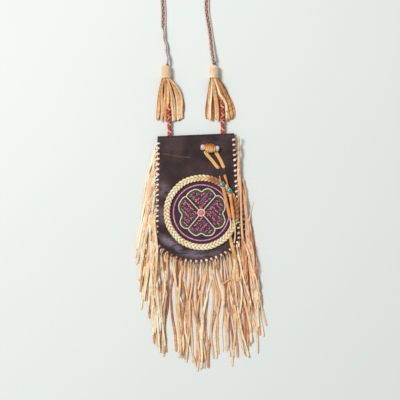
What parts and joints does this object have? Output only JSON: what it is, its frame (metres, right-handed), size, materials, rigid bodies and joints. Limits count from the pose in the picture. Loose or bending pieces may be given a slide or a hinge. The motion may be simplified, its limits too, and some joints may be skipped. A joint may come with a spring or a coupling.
{
  "type": "tassel bag",
  "caption": "Fringed leather pouch with a laced flap, an embroidered round medallion, a toggle, beaded thongs, tassels and a braided shoulder strap.",
  "frame": {"origin": "middle of the back panel's flat outer face, on the floor that the bag lies on", "axes": "+Y up the bag from the fringe to the strap, +X to the right as the flap is seen, +Z out of the flap"},
  "size_m": [0.2536, 0.8564, 0.0269],
  "materials": {
    "dark_leather": "worn dark brown leather with a dull sheen",
    "cream_lace": "pale undyed lace",
    "tan_leather": "soft tan split leather",
    "golden_leather": "waxed golden leather",
    "red_braid": "reddish braided leather",
    "strap_braid": "matte braided cord in taupe and cream",
    "bone": "polished bone",
    "embroidered_cloth": "dark cloth with silk embroidery",
    "turquoise_bead": "glossy opaque glass bead"
  },
  "bodies": {
    "pouch": {"back_panel": "dark_leather", "front_panel": "dark_leather", "pouch_lacing": "cream_lace", "pouch_fringe_left": "tan_leather", "pouch_fringe_bottom": "tan_leather", "pouch_fringe_right": "tan_leather", "drop_left": "red_braid", "drop_right": "red_braid", "drop_knot_left": "red_braid", "drop_knot_right": "red_braid", "tassel_cap_left": "tan_leather", "tassel_cap_right": "tan_leather", "tassel_skirt_left": "tan_leather", "tassel_skirt_right": "tan_leather", "strap_knot_left": "strap_braid", "strap_knot_right": "strap_braid", "strap_left": "strap_braid", "strap_right": "strap_braid", "strap_coil": "strap_braid"},
    "flap": {"flap_panel": "dark_leather", "flap_lacing": "cream_lace", "flap_fringe_left": "tan_leather", "flap_fringe_bottom": "tan_leather", "flap_fringe_right": "tan_leather", "medallion": "embroidered_cloth", "medallion_braid": "cream_lace", "toggle": "bone", "toggle_wrap": "golden_leather", "toggle_leg_left": "golden_leather", "toggle_leg_right": "golden_leather", "dangle_thong_left": "golden_leather", "dangle_thong_right": "golden_leather", "bead_left": "turquoise_bead", "bead_right": "turquoise_bead", "tube_left": "golden_leather", "tube_right": "golden_leather"}
  },
  "joints": [
    {"name": "flap_hinge", "type": "hinge", "parent": "pouch", "child": "flap", "pos_m": [0, 0.11965, 0.0139], "axis": [-1, 0, 0], "range_deg": [0, 140]}
  ]
}
